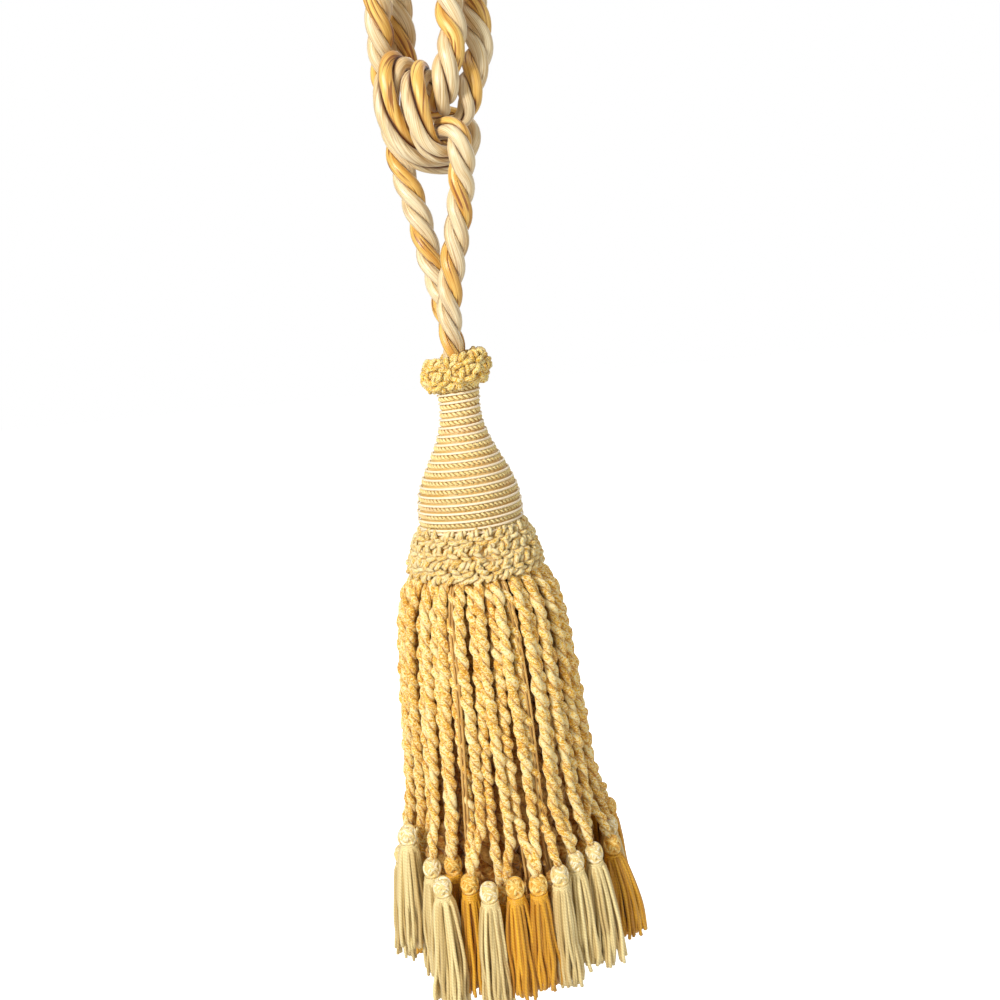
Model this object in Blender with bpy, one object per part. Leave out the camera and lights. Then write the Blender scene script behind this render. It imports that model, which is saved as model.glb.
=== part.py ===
"""Curtain tieback tassel, hanging from its two rope ears.

A three-ply rope is tied in a wrapped knot. Two ears stand above the knot, and two legs run down
to the neck of a cord-wound mould. A knotted ruff closes the neck, and a wider one the foot. Below
it hang a skirt of twisted bullion and a ring of small tassels.

Lengths are in millimetres until they are scaled by MM. The origin is where the ears hang.
"""

import math

import bmesh
import bpy
import numpy as np

MM = 0.001
GAP = 0.3

ROPE_LAY = 28.0
ROPE_STEP = 3.0
ROPE_VALLEY = 0.74
KNOT_HEIGHT = -66.0

NECK_TOP = -151.2
NECK_BOTTOM = -164.8
NECK_RADIUS = 12.6
NECK_HOLE_X = 6.2
NECK_HOLE_Y = 10.0
NECK_TILT = 1.0

MOULD_TOP = -166.2
MOULD_FOOT = -217.6
SPIGOT_RADIUS = 14.0
SPIGOT_BOTTOM = -236.6
WINDING_TURNS = 17
WINDING_DEPTH = 0.7
MOULD_SIDES = 20

RUFF_TOP = -218.0
RUFF_BOTTOM = -233.0
RUFF_ROWS = 5
RUFF_KNOTS = 20
RUFF_BUMP = 1.1

SKIRT_TOP = -233.4
SKIRT_BACKING = 3.0
SKIRT_SECTORS = 48
SKIRT_LAYER = 5.5
SKIRT_INNERMOST = 10.2
SKIRT_DRIFT = 2.0
SKIRT_LENGTH = 112.0
STRAND_LONG_SIDE = 4.4
STRAND_SHORT_SIDE = 2.6
STRAND_STEP = 10.5
STRAND_TEST_SHARE = 0.95
INNERMOST_SIDE = 3.0
INNERMOST_STEP = 36.0
INNERMOST_END = -354.0
HANK_SIDE = 1.5
BACKING_CELL_RADII = (18.2, 21.4, 24.0, 27.0)

BALL_RADIUS = 3.7
BALL_HEIGHT = 7.6
THREADS = 7
THREAD_SIZE = 1.25

# Knot and ears: x, y, height above the knot's middle, rope radius, share of its lay left in
ROPE_ROUTE = (
    (0.3, 4.6, -99.6, 4.0, 1),
    (0.4, 4.7, -85.5, 4.1, 1),
    (-0.9, 5.2, -76.0, 4.6, 1),
    (-2.0, 5.8, -69.3, 4.8, 1),
    (-3.8, 6.2, -58.0, 4.9, 1),
    (-5.6, 6.2, -50.6, 4.9, 1),
    (-7.1, 6.2, -40.0, 4.9, 1),
    (-9.6, 6.0, -28.0, 4.9, 1),
    (-11.6, 5.8, -18.9, 4.8, 1),
    (-12.8, 5.4, -6.0, 4.4, 1),
    (-13.0, 4.8, 6.0, 4.5, 1),
    (-13.0, 3.4, 17.0, 4.8, 1),
    (-13.0, -0.8, 28.0, 5.1, 1),
    (-13.1, -6.5, 40.0, 5.2, 1),
    (-12.9, -11.0, 54.0, 5.2, 1),
    (-12.4, -8.8, 66.8, 5.2, 1),
    (-11.0, 0.0, 71.2, 5.2, 1),
    (-9.6, 8.8, 66.8, 5.2, 1),
    (-8.4, 11.5, 54.0, 5.2, 1),
    (-7.6, 11.0, 40.0, 5.2, 1),
    (-7.2, 10.4, 28.0, 5.1, 1),
    (-7.4, 11.2, 19.0, 4.9, 1),
    (-6.8, 13.5, 11.0, 4.2, 1),
    (-3.6, 16.0, 4.6, 3.8, 1),
    (2.5, 17.0, 0.9, 3.9, 1),
    (9.0, 14.6, -1.8, 4.2, 0.8),
    (13.6, 9.6, -6.0, 4.2, 0.6),
    (13.4, 5.6, -11.0, 3.8, 0.5),
    (8.4, 4.4, -16.4, 3.6, 0.4),
    (2.0, 0.2, -17.4, 4.0, 0.35),
    (-4.4, -4.6, -15.8, 4.7, 0.35),
    (-9.0, -8.0, -11.0, 5.1, 0.35),
    (-11.8, -9.4, -3.0, 5.1, 0.35),
    (-12.0, -9.2, 4.5, 5.1, 0.35),
    (-10.9, -7.8, 11.0, 5.0, 0.4),
    (-8.3, -4.4, 14.4, 4.8, 0.5),
    (-5.2, 1.0, 13.6, 4.1, 0.6),
    (-5.6, 6.5, 9.0, 3.6, 1),
    (-6.0, 9.6, 1.6, 3.6, 1),
    (-3.0, 10.0, -5.0, 3.6, 1),
    (3.2, 8.4, -7.6, 3.3, 0.8),
    (7.4, 5.2, -9.4, 3.2, 0.5),
    (8.8, -0.4, -12.2, 3.2, 0.5),
    (6.8, -5.6, -15.0, 3.6, 0.4),
    (2.2, -9.8, -14.8, 4.2, 0.35),
    (-1.4, -11.6, -11.6, 4.6, 0.35),
    (-3.0, -12.0, -6.0, 4.9, 0.35),
    (-3.2, -11.8, -0.5, 5.0, 0.35),
    (-2.8, -9.8, 6.0, 4.9, 0.35),
    (-1.6, -5.4, 10.6, 4.6, 0.4),
    (0.8, -0.8, 10.4, 3.9, 0.6),
    (2.4, 2.8, 6.6, 3.5, 0.6),
    (3.9, 3.2, 1.8, 3.5, 0.6),
    (5.4, -1.6, -1.6, 4.2, 0.6),
    (6.0, -6.8, 1.0, 5.0, 0.7),
    (7.0, -9.2, 7.5, 5.2, 0.8),
    (8.6, -9.2, 14.0, 5.3, 1),
    (10.6, -8.4, 20.0, 5.2, 1),
    (10.2, -8.0, 28.0, 5.2, 1),
    (10.2, -8.0, 40.0, 5.2, 1),
    (10.9, -11.0, 54.0, 5.2, 1),
    (12.2, -8.8, 66.8, 5.2, 1),
    (14.2, 0.0, 71.2, 5.2, 1),
    (16.2, 8.8, 66.8, 5.2, 1),
    (17.8, 11.0, 54.0, 5.2, 1),
    (18.5, 7.0, 40.0, 5.2, 1),
    (18.9, 4.0, 28.0, 5.2, 1),
    (18.4, 1.8, 19.0, 5.2, 1),
    (14.4, -1.8, 9.0, 5.2, 1),
    (11.8, -4.4, 2.4, 4.9, 1),
    (11.2, -2.8, -2.8, 4.0, 0.8),
    (7.8, -0.8, -6.0, 3.2, 0.6),
    (4.0, -0.5, -7.6, 3.2, 0.5),
    (1.0, -3.0, -8.6, 3.5, 0.5),
    (2.2, -7.4, -8.8, 3.7, 0.5),
    (4.4, -11.8, -10.0, 4.2, 0.6),
    (6.6, -13.8, -12.6, 4.6, 0.8),
    (7.2, -13.8, -16.6, 4.8, 0.9),
    (7.2, -12.4, -20.6, 4.9, 1),
    (7.1, -10.4, -25.2, 4.9, 1),
    (6.5, -8.9, -32.1, 4.9, 1),
    (5.4, -7.8, -39.6, 4.9, 1),
    (4.0, -7.0, -47.0, 4.9, 1),
    (2.3, -6.6, -54.5, 4.9, 1),
    (0.2, -6.1, -66.0, 4.8, 1),
    (-0.6, -5.4, -76.0, 4.6, 1),
    (-0.5, -4.7, -85.5, 4.1, 1),
    (-0.3, -4.6, -99.6, 4.0, 1),
)

# Turned profile of the mould: height, radius
MOULD_PROFILE = (
    (-166.2, 8.2),
    (-172.6, 7.6),
    (-178.9, 8.3),
    (-185.2, 10.4),
    (-191.4, 13.4),
    (-197.9, 16.7),
    (-204.0, 19.0),
    (-210.5, 19.9),
    (-214.3, 19.9),
    (-217.6, 19.2),
)

# Lower ruff: height, outer radius
RUFF_PROFILE = (
    (-218.0, 20.6),
    (-222.0, 22.6),
    (-226.0, 24.3),
    (-230.0, 25.6),
    (-233.0, 26.0),
)

# Outer layer of the skirt: height, radius
SKIRT_PROFILE = (
    (-236.4, 25.5),
    (-241.0, 27.8),
    (-247.0, 29.8),
    (-260.0, 31.5),
    (-285.0, 33.6),
    (-310.0, 35.5),
    (-330.0, 37.1),
    (-347.0, 38.6),
    (-357.0, 39.2),
)

# Small tassels: azimuth (0 is the front, positive to the right), distance from the axis,
# top of the knotted head, colour, length of the threads, their spread at the tips, outward lean
SMALL_TASSELS = (
    (-53.3, 44.0, -323.5, "cream", 41.0, 4.0, 1.5),
    (-62.9, 37.0, -341.0, "gold", 32.0, 3.0, 0.5),
    (-41.4, 41.5, -335.1, "cream", 39.0, 3.4, 0.5),
    (-30.8, 46.5, -338.4, "cream", 43.0, 4.5, 0.5),
    (-33.7, 35.5, -335.7, "gold", 37.0, 3.0, 0.0),
    (-19.8, 41.2, -338.9, "gold", 40.0, 2.9, 0.3),
    (-9.1, 45.5, -339.7, "cream", 42.0, 3.9, 0.5),
    (-2.4, 36.0, -345.6, "gold", 33.0, 3.1, 0.0),
    (3.0, 44.0, -339.5, "gold", 39.0, 3.3, 0.5),
    (13.9, 44.5, -339.7, "gold", 37.0, 3.3, 0.5),
    (24.5, 45.5, -338.0, "cream", 39.0, 3.2, 1.2),
    (36.1, 43.0, -336.7, "cream", 38.0, 3.8, 1.5),
    (47.9, 44.5, -337.0, "cream", 40.0, 4.2, 3.0),
    (58.0, 36.5, -340.0, "gold", 34.0, 3.2, 1.5),
    (66.4, 45.0, -340.9, "gold", 33.0, 4.4, 5.0),
)
BACK_TASSELS = 15
BACK_COLOURS = ("cream", "gold", "gold", "cream", "cream")
BACK_FIRST, BACK_LAST = 81.0, 280.0
BACK_RADIUS = 42.5
BACK_RADIUS_SWAY = 1.5
BACK_TUCK = 3.2
BACK_TOP = -338.5
BACK_TOP_SWAY = 2.5
BACK_LENGTH = 39.0
BACK_LENGTH_SWAY = 2.0
BACK_SPREAD = 3.7
BACK_LEAN = 1.0

# Straight yarn hanks: azimuth of the sector, lower end
HANK_SECTORS = (
    (-22.5, -338.0),
    (7.5, -350.0),
    (22.5, -343.0),
    (157.5, -343.0),
    (202.5, -338.0),
)

COLOURS = {
    "rope": (0.84, 0.69, 0.42, 1.0),
    "ruff": (0.85, 0.62, 0.24, 1.0),
    "winding": (0.79, 0.60, 0.24, 1.0),
    "bullion": (0.84, 0.58, 0.20, 1.0),
    "cream": (0.78, 0.68, 0.36, 1.0),
    "gold": (0.74, 0.42, 0.06, 1.0),
}


def clear_scene():
    for thing in list(bpy.data.objects):
        bpy.data.objects.remove(thing, do_unlink=True)


def yarn_material(name, colour, roughness):
    material = bpy.data.materials.new(name)
    material.use_nodes = True
    shader = material.node_tree.nodes["Principled BSDF"]
    shader.inputs["Base Color"].default_value = COLOURS[colour]
    shader.inputs["Roughness"].default_value = roughness
    shader.inputs["Metallic"].default_value = 0.0
    return material


def finish_object(name, mesh_builder, colour, roughness):
    mesh = bpy.data.meshes.new(name)
    bmesh.ops.recalc_face_normals(mesh_builder, faces=mesh_builder.faces)
    mesh_builder.to_mesh(mesh)
    mesh_builder.free()
    mesh.shade_smooth()
    mesh.set_sharp_from_angle(angle=math.radians(50))
    mesh.materials.append(yarn_material(name + "_finish", colour, roughness))
    thing = bpy.data.objects.new(name, mesh)
    bpy.context.scene.collection.objects.link(thing)
    return thing


def from_profile(profile, height):
    heights = [row[0] for row in reversed(profile)]
    radii = [row[1] for row in reversed(profile)]
    return float(np.interp(height, heights, radii))


def around(azimuth, radius, height):
    angle = math.radians(azimuth)
    return (radius * math.sin(angle), -radius * math.cos(angle), height)


def add_ring(builder, points):
    return [builder.verts.new([value * MM for value in point]) for point in points]


def join_rings(builder, upper, lower):
    count = len(upper)
    for i in range(count):
        j = (i + 1) % count
        builder.faces.new((upper[i], upper[j], lower[j], lower[i]))


def revolve_grid(name, rows, sides, colour, closed, roughness=0.6):
    """A round solid from rows of points, each row a ring; closed joins the last row to the first."""
    builder = bmesh.new()
    rings = [add_ring(builder, [row(i) for i in range(sides)]) for row in rows]
    for upper, lower in zip(rings, rings[1:]):
        join_rings(builder, upper, lower)
    if closed:
        join_rings(builder, rings[-1], rings[0])
    else:
        builder.faces.new(rings[0])
        builder.faces.new(rings[-1])
    return finish_object(name, builder, colour, roughness)


# Rope


def smooth_curve(route, steps_between=12):
    """Catmull-Rom curve through the route's rows."""
    rows = np.array(route)
    rows = np.vstack([2 * rows[0] - rows[1], rows, 2 * rows[-1] - rows[-2]])
    found = []
    for a, b, c, d in zip(rows, rows[1:], rows[2:], rows[3:]):
        for k in range(steps_between):
            t = k / steps_between
            found.append(0.5 * (2 * b + (c - a) * t + (2 * a - 5 * b + 4 * c - d) * t**2
                                + (3 * b - a - 3 * c + d) * t**3))
    found.append(rows[-2])
    return np.array(found)


def even_steps(rows, step):
    lengths = np.linalg.norm(np.diff(rows[:, :3], axis=0), axis=1)
    along = np.concatenate([[0.0], np.cumsum(lengths)])
    wanted = np.linspace(0.0, along[-1], int(round(along[-1] / step)) + 1)
    return np.stack([np.interp(wanted, along, column) for column in rows.T], axis=1)


def push_turns_apart(rows, rounds=300):
    """Moves the knot's turns sideways until none is nearer its neighbour than their two radii."""
    home, radius = rows[:, :3], rows[:, 3]
    count = len(rows)
    place = np.arange(count)
    step = np.linalg.norm(np.diff(home, axis=0), axis=1).mean()
    touching = radius[:, None] + radius[None, :] + GAP + 0.1
    same_turn = np.abs(place[:, None] - place[None, :]) * step < 1.6 * touching
    end_hold = np.clip(np.minimum(place, count - 1 - place) / 8.0, 0.0, 1.0)[:, None]
    shift = np.zeros_like(home)
    for _ in range(rounds):
        apart = (home + shift)[:, None] - (home + shift)[None, :]
        distance = np.linalg.norm(apart, axis=2) + 1e-9
        overlap = np.where(same_turn, 0.0, np.clip(touching - distance, 0.0, None))
        push = (apart / distance[..., None] * overlap[..., None] * 0.5).sum(axis=1)
        meetings = np.maximum((overlap > 0).sum(axis=1), 1)[:, None]
        shift += end_hold * push / meetings * 1.4
        shift[1:-1] += 0.45 * (0.5 * (shift[:-2] + shift[2:]) - shift[1:-1])
    return np.column_stack([home + shift, rows[:, 3:]])


def carried_frames(points):
    """A sideways direction at each point that never spins about the curve."""
    tangents = np.gradient(points, axis=0)
    tangents /= np.linalg.norm(tangents, axis=1)[:, None]
    side = np.cross(tangents[0], (0.0, 1.0, 0.0))
    frames = []
    for tangent in tangents:
        side = side - tangent * side.dot(tangent)
        side /= np.linalg.norm(side)
        frames.append((side, np.cross(tangent, side)))
    return frames


def rope_centreline(step):
    route = [(x, y, z + KNOT_HEIGHT, radius, lay) for x, y, z, radius, lay in ROPE_ROUTE]
    settled = push_turns_apart(even_steps(smooth_curve(route), 2.5))
    return even_steps(settled, step)


def make_rope():
    """Three plies laid left-handed, so the section's three crests turn along the curve."""
    line = rope_centreline(ROPE_STEP)
    builder = bmesh.new()
    rings = []
    turn = 0.0
    for (x, y, z, radius, lay), (side, up) in zip(line, carried_frames(line[:, :3])):
        ring = []
        for i in range(9):
            angle = turn + math.tau * i / 9
            reach = radius if i % 3 == 0 else radius * ROPE_VALLEY
            offset = reach * (math.cos(angle) * side + math.sin(angle) * up)
            ring.append((x + offset[0], y + offset[1], z + offset[2]))
        rings.append(add_ring(builder, ring))
        turn -= lay * math.tau * ROPE_STEP / ROPE_LAY
    for upper, lower in zip(rings, rings[1:]):
        join_rings(builder, upper, lower)
    builder.faces.new(rings[0])
    builder.faces.new(rings[-1])
    return finish_object("rope", builder, "rope", 0.45)


# Mould and ruffs


def make_neck_ruff():
    """A ring of knots with an oval hole for the two legs, a little lower on its left."""
    sides, around_section = 28, 8
    middle = 0.5 * (NECK_TOP + NECK_BOTTOM)
    half_height = 0.5 * (NECK_TOP - NECK_BOTTOM) - NECK_TILT

    def section_row(j):
        lap = math.tau * j / around_section

        def point(i):
            angle = math.tau * i / sides
            hole = NECK_HOLE_X * NECK_HOLE_Y / math.hypot(
                NECK_HOLE_Y * math.sin(angle), NECK_HOLE_X * math.cos(angle))
            half_width = 0.5 * (NECK_RADIUS - hole)
            bump = 0.45 * (-1) ** (i + j) if math.cos(lap) > 0.1 else 0.0
            radius = hole + half_width + (half_width + bump) * math.cos(lap)
            height = middle + half_height * math.sin(lap)
            tilt = NECK_TILT * radius / NECK_RADIUS * math.sin(angle)
            return around(math.degrees(angle), radius, height + tilt)

        return point

    rows = [section_row(j) for j in range(around_section)]
    return revolve_grid("neck_ruff", rows, sides, "ruff", closed=True)


def make_mould():
    """Bottle-shaped mould whose winding of thin cord shows as rounded ridges, on a plain spigot."""
    levels = []
    turn_height = (MOULD_TOP - MOULD_FOOT) / WINDING_TURNS
    for k in range(WINDING_TURNS):
        crest = MOULD_TOP - (k + 0.5) * turn_height
        groove = MOULD_TOP - k * turn_height
        levels.append((groove, from_profile(MOULD_PROFILE, groove) - WINDING_DEPTH))
        levels.append((crest, from_profile(MOULD_PROFILE, crest)))
    levels.append((MOULD_FOOT, from_profile(MOULD_PROFILE, MOULD_FOOT) - WINDING_DEPTH))
    levels.append((MOULD_FOOT, SPIGOT_RADIUS))
    levels.append((SPIGOT_BOTTOM, SPIGOT_RADIUS))

    def ring_row(height, radius):
        return lambda i: around(360.0 * i / MOULD_SIDES, radius, height)

    rows = [ring_row(height, radius) for height, radius in levels]
    return revolve_grid("mould", rows, MOULD_SIDES, "winding", closed=False, roughness=0.55)


def make_lower_ruff():
    """Rows of knots, each row offset by half a knot, round the mould's spigot."""
    sides = RUFF_KNOTS * 2
    row_count = RUFF_ROWS * 2
    rows = []

    def outer_row(j):
        height = RUFF_TOP + (RUFF_BOTTOM - RUFF_TOP) * j / row_count
        edge = 0.0 if j in (0, row_count) else 1.0

        def point(i):
            on_knot = j % 2 == 1 and (i + j // 2) % 2 == 0
            bump = RUFF_BUMP * edge * (0.5 if on_knot else -0.5)
            return around(360.0 * i / sides, from_profile(RUFF_PROFILE, height) + bump, height)

        return point

    def hole_row(height):
        return lambda i: around(360.0 * i / sides, SPIGOT_RADIUS + GAP + 0.2, height)

    rows = [outer_row(j) for j in range(row_count + 1)]
    rows += [hole_row(RUFF_BOTTOM), hole_row(RUFF_TOP)]
    return revolve_grid("lower_ruff", rows, sides, "ruff", closed=True)


# Skirt and small tassels


def small_tassel_rows():
    """The front tassels as given, and the back ones spread evenly over what is left."""
    rows = list(SMALL_TASSELS)
    for k in range(BACK_TASSELS):
        azimuth = BACK_FIRST + (BACK_LAST - BACK_FIRST) * k / (BACK_TASSELS - 1)
        tuck = BACK_TUCK * max(0.0, -math.sin(math.radians(azimuth)))
        radius = BACK_RADIUS - tuck + BACK_RADIUS_SWAY * math.sin(2.4 * k)
        top = BACK_TOP + BACK_TOP_SWAY * math.sin(1.7 * k)
        colour = BACK_COLOURS[k % len(BACK_COLOURS)]
        length = BACK_LENGTH + BACK_LENGTH_SWAY * math.cos(k)
        rows.append((azimuth, radius, top, colour, length, BACK_SPREAD, BACK_LEAN))
    return rows


def strand_end(x, y, tassels):
    """A strand stops just above any small tassel's head that it would touch."""
    lowest = SKIRT_TOP - SKIRT_LENGTH
    end = lowest
    reach = 0.5 * math.hypot(STRAND_LONG_SIDE, STRAND_SHORT_SIDE) + BALL_RADIUS + GAP
    for azimuth, radius, top, *_ in tassels:
        head_x, head_y, _ = around(azimuth, radius, 0.0)
        if math.hypot(head_x - x, head_y - y) < reach:
            end = max(end, top + 0.6)
    return end


def strand_place(azimuth, inset, height):
    """Where a strand's middle is at a height; the whole skirt drifts a little to its right."""
    x, y, z = around(azimuth, from_profile(SKIRT_PROFILE, height) - inset, height)
    return (x + SKIRT_DRIFT * (SKIRT_TOP - height) / SKIRT_LENGTH, y, z)


def extend_strand(builder, root, sections):
    """Draws a closed strand out of a backing face, through each four-cornered section."""
    corners = list(root.verts)
    bmesh.ops.delete(builder, geom=[root], context="FACES_ONLY")
    for section in sections:
        ring = add_ring(builder, section)
        join_rings(builder, corners, ring)
        corners = ring
    builder.faces.new(corners)


def four_corners(place, azimuth, long_side, short_side, turn):
    """A rectangle lying flat, turned about the strand's own axis, wound as a backing cell."""
    x, y, height = place
    angle = math.radians(azimuth + turn)
    found = []
    for across, inward in ((-0.5, -0.5), (0.5, -0.5), (0.5, 0.5), (-0.5, 0.5)):
        a, b = across * long_side, inward * short_side
        found.append((x + a * math.cos(angle) - b * math.sin(angle),
                      y + a * math.sin(angle) + b * math.cos(angle), height))
    return found


def strand_sections(azimuth, inset, end, long_side, short_side, twisted, step=STRAND_STEP):
    start = SKIRT_TOP - SKIRT_BACKING - 3.0
    count = max(2, int(round((start - end) / step)))
    sections = []
    for k in range(count + 1):
        height = start + (end - start) * k / count
        place = strand_place(azimuth, inset, height)
        turn = 90.0 * k if twisted else 0.0
        sections.append(four_corners(place, azimuth, long_side, short_side, turn))
    return sections


def make_skirt(tassels):
    """Backing ring with a cell for each strand's root: outer and innermost strands in even sectors,
    inner ones in odd sectors, and a few plain yarn hanks in the outer cells that are left."""
    builder = bmesh.new()
    pitch = 360.0 / SKIRT_SECTORS
    radii = (SPIGOT_RADIUS + GAP + 0.2,) + BACKING_CELL_RADII
    bottom = SKIRT_TOP - SKIRT_BACKING
    grid = []
    for radius in radii:
        points = [around((i - 0.5) * pitch, radius, bottom) for i in range(SKIRT_SECTORS)]
        grid.append(add_ring(builder, points))
    top = []
    for radius in (radii[-1], radii[0]):
        points = [around((i - 0.5) * pitch, radius, SKIRT_TOP) for i in range(SKIRT_SECTORS)]
        top.append(add_ring(builder, points))
    join_rings(builder, grid[-1], top[0])
    join_rings(builder, top[0], top[1])
    join_rings(builder, top[1], grid[0])
    cells = {}
    for layer in range(len(radii) - 1):
        inner, outer = grid[layer], grid[layer + 1]
        for i in range(SKIRT_SECTORS):
            j = (i + 1) % SKIRT_SECTORS
            cells[layer, i] = builder.faces.new((outer[i], outer[j], inner[j], inner[i]))
    hanks = {round(azimuth / pitch) % SKIRT_SECTORS: end for azimuth, end in HANK_SECTORS}
    for i in range(SKIRT_SECTORS):
        azimuth = i * pitch
        is_outer = i % 2 == 0
        inset = 0.0 if is_outer else SKIRT_LAYER
        x, y, _ = strand_place(azimuth, inset, SKIRT_TOP - STRAND_TEST_SHARE * SKIRT_LENGTH)
        sections = strand_sections(azimuth, inset, strand_end(x, y, tassels),
                                   STRAND_LONG_SIDE, STRAND_SHORT_SIDE, twisted=True)
        extend_strand(builder, cells[3 if is_outer else 1, i], sections)
        if is_outer:
            sections = strand_sections(azimuth, SKIRT_INNERMOST, INNERMOST_END, INNERMOST_SIDE,
                                       INNERMOST_SIDE, twisted=False, step=INNERMOST_STEP)
            extend_strand(builder, cells[0, i], sections)
        if i in hanks:
            x, y, _ = strand_place(azimuth, 0.0, SKIRT_TOP - STRAND_TEST_SHARE * SKIRT_LENGTH)
            end = max(hanks[i], strand_end(x, y, tassels))
            sections = strand_sections(azimuth, 0.0, end, HANK_SIDE, HANK_SIDE, twisted=False)
            extend_strand(builder, cells[3, i], sections)
    return finish_object("bullion_skirt", builder, "bullion", 0.6)


def make_small_tassel(name, azimuth, radius, top, colour, length, spread, lean):
    """Knotted ball with three-sided threads drawn out of its underside."""
    builder = bmesh.new()
    base = top - BALL_HEIGHT

    def ring(ring_radius, height, centre_radius):
        x, y, _ = around(azimuth, centre_radius, 0.0)
        turns = [math.radians(azimuth) + math.tau * i / THREADS for i in range(THREADS)]
        return [(x + ring_radius * math.sin(t), y - ring_radius * math.cos(t), height) for t in turns]

    crown = builder.verts.new([v * MM for v in around(azimuth, radius, top)])
    shoulder = add_ring(builder, ring(0.8 * BALL_RADIUS, top - 0.18 * BALL_HEIGHT, radius))
    belly = add_ring(builder, ring(BALL_RADIUS, top - 0.5 * BALL_HEIGHT, radius))
    waist = add_ring(builder, ring(0.7 * BALL_RADIUS, base, radius))
    heart = builder.verts.new([v * MM for v in around(azimuth, radius, base)])
    for i in range(THREADS):
        builder.faces.new((crown, shoulder[i], shoulder[(i + 1) % THREADS]))
    join_rings(builder, shoulder, belly)
    join_rings(builder, belly, waist)

    def thread_section(i, height, centre_radius, reach):
        x, y, _ = around(azimuth, centre_radius, 0.0)
        out = math.radians(azimuth) + math.tau * (i + 0.5) / THREADS
        middle = (x + reach * math.sin(out), y - reach * math.cos(out))
        found = []
        for turn in (math.pi, -math.pi / 3, math.pi / 3):
            found.append((middle[0] + THREAD_SIZE * math.sin(out + turn),
                          middle[1] - THREAD_SIZE * math.cos(out + turn), height))
        return found

    for i in range(THREADS):
        corners = [heart, waist[i], waist[(i + 1) % THREADS]]
        reach = 0.62 * BALL_RADIUS
        for share, reach in ((0.35, max(reach, 0.62 * spread)), (1.0, spread)):
            section = thread_section(i, base - share * length, radius + share * lean, reach)
            below = add_ring(builder, section)
            join_rings(builder, corners, below)
            corners = below
        builder.faces.new(corners)
    return finish_object(name, builder, colour, 0.55)


def make_small_tassels(rows):
    for number, row in enumerate(rows, start=1):
        make_small_tassel(f"mini_tassel_{number:02d}", *row)


def main():
    clear_scene()
    tassels = small_tassel_rows()
    make_rope()
    make_neck_ruff()
    make_mould()
    make_lower_ruff()
    make_skirt(tassels)
    make_small_tassels(tassels)


main()
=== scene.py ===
# Curtain tieback tassel: a three-ply rope tied in a wrapped knot, two knotted ruffs, a mould wound
# with cord, a skirt of twisted bullion and a ring of small tassels. Lengths are in metres, and every
# thick is a radius. Angles in the dictionaries are in degrees where radians aren't named, and an
# azimuth is 0 at the front and positive to the right.

import math
import random

import bpy
import numpy as np
from mathutils import Matrix, Vector


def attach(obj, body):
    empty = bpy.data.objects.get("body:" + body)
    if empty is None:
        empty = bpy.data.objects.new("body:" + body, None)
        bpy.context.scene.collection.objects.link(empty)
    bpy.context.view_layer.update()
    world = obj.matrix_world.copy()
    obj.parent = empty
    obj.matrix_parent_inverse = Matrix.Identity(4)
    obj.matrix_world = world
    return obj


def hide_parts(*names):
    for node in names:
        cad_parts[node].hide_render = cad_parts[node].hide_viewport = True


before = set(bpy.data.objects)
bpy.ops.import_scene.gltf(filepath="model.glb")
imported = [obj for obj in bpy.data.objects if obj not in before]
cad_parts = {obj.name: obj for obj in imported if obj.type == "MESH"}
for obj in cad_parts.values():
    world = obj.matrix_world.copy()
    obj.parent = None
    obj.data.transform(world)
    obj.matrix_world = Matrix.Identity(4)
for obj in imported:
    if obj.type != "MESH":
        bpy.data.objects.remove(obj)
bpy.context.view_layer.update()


def addObject(name, data):
    made = bpy.data.objects.new(name, data)
    bpy.context.scene.collection.objects.link(made)
    return made


# Camera

viewpoint = {
    "eye": (0.0, -0.409, -0.135),
    "tilt": 10.3,  # below the level
    "yaw": 1.62,
    "roll": -5.508,
    "lens": 39.6,  # in millimetres, as is the sensor
    "sensor": 36.0,
    "nearest": 0.01,
}


def makeCamera():
    tilt, yaw, roll = (math.radians(viewpoint[name]) for name in ("tilt", "yaw", "roll"))
    ahead = Vector((math.sin(yaw) * math.cos(tilt), math.cos(yaw) * math.cos(tilt), -math.sin(tilt)))
    right = Vector((math.cos(yaw), -math.sin(yaw), 0.0))
    up = right.cross(ahead)
    tiltedRight = right * math.cos(roll) + up * math.sin(roll)
    tiltedUp = up * math.cos(roll) - right * math.sin(roll)
    turn = Matrix((tiltedRight, tiltedUp, -ahead)).transposed().to_4x4()
    data = bpy.data.cameras.new("studioCamera")
    data.lens = viewpoint["lens"]
    data.sensor_width = viewpoint["sensor"]
    data.dof.use_dof = False
    data.clip_start = viewpoint["nearest"]
    camera = addObject("studioCamera", data)
    camera.matrix_world = Matrix.Translation(viewpoint["eye"]) @ turn
    bpy.context.scene.camera = camera
    print("camera set")


# Shader maths


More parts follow.
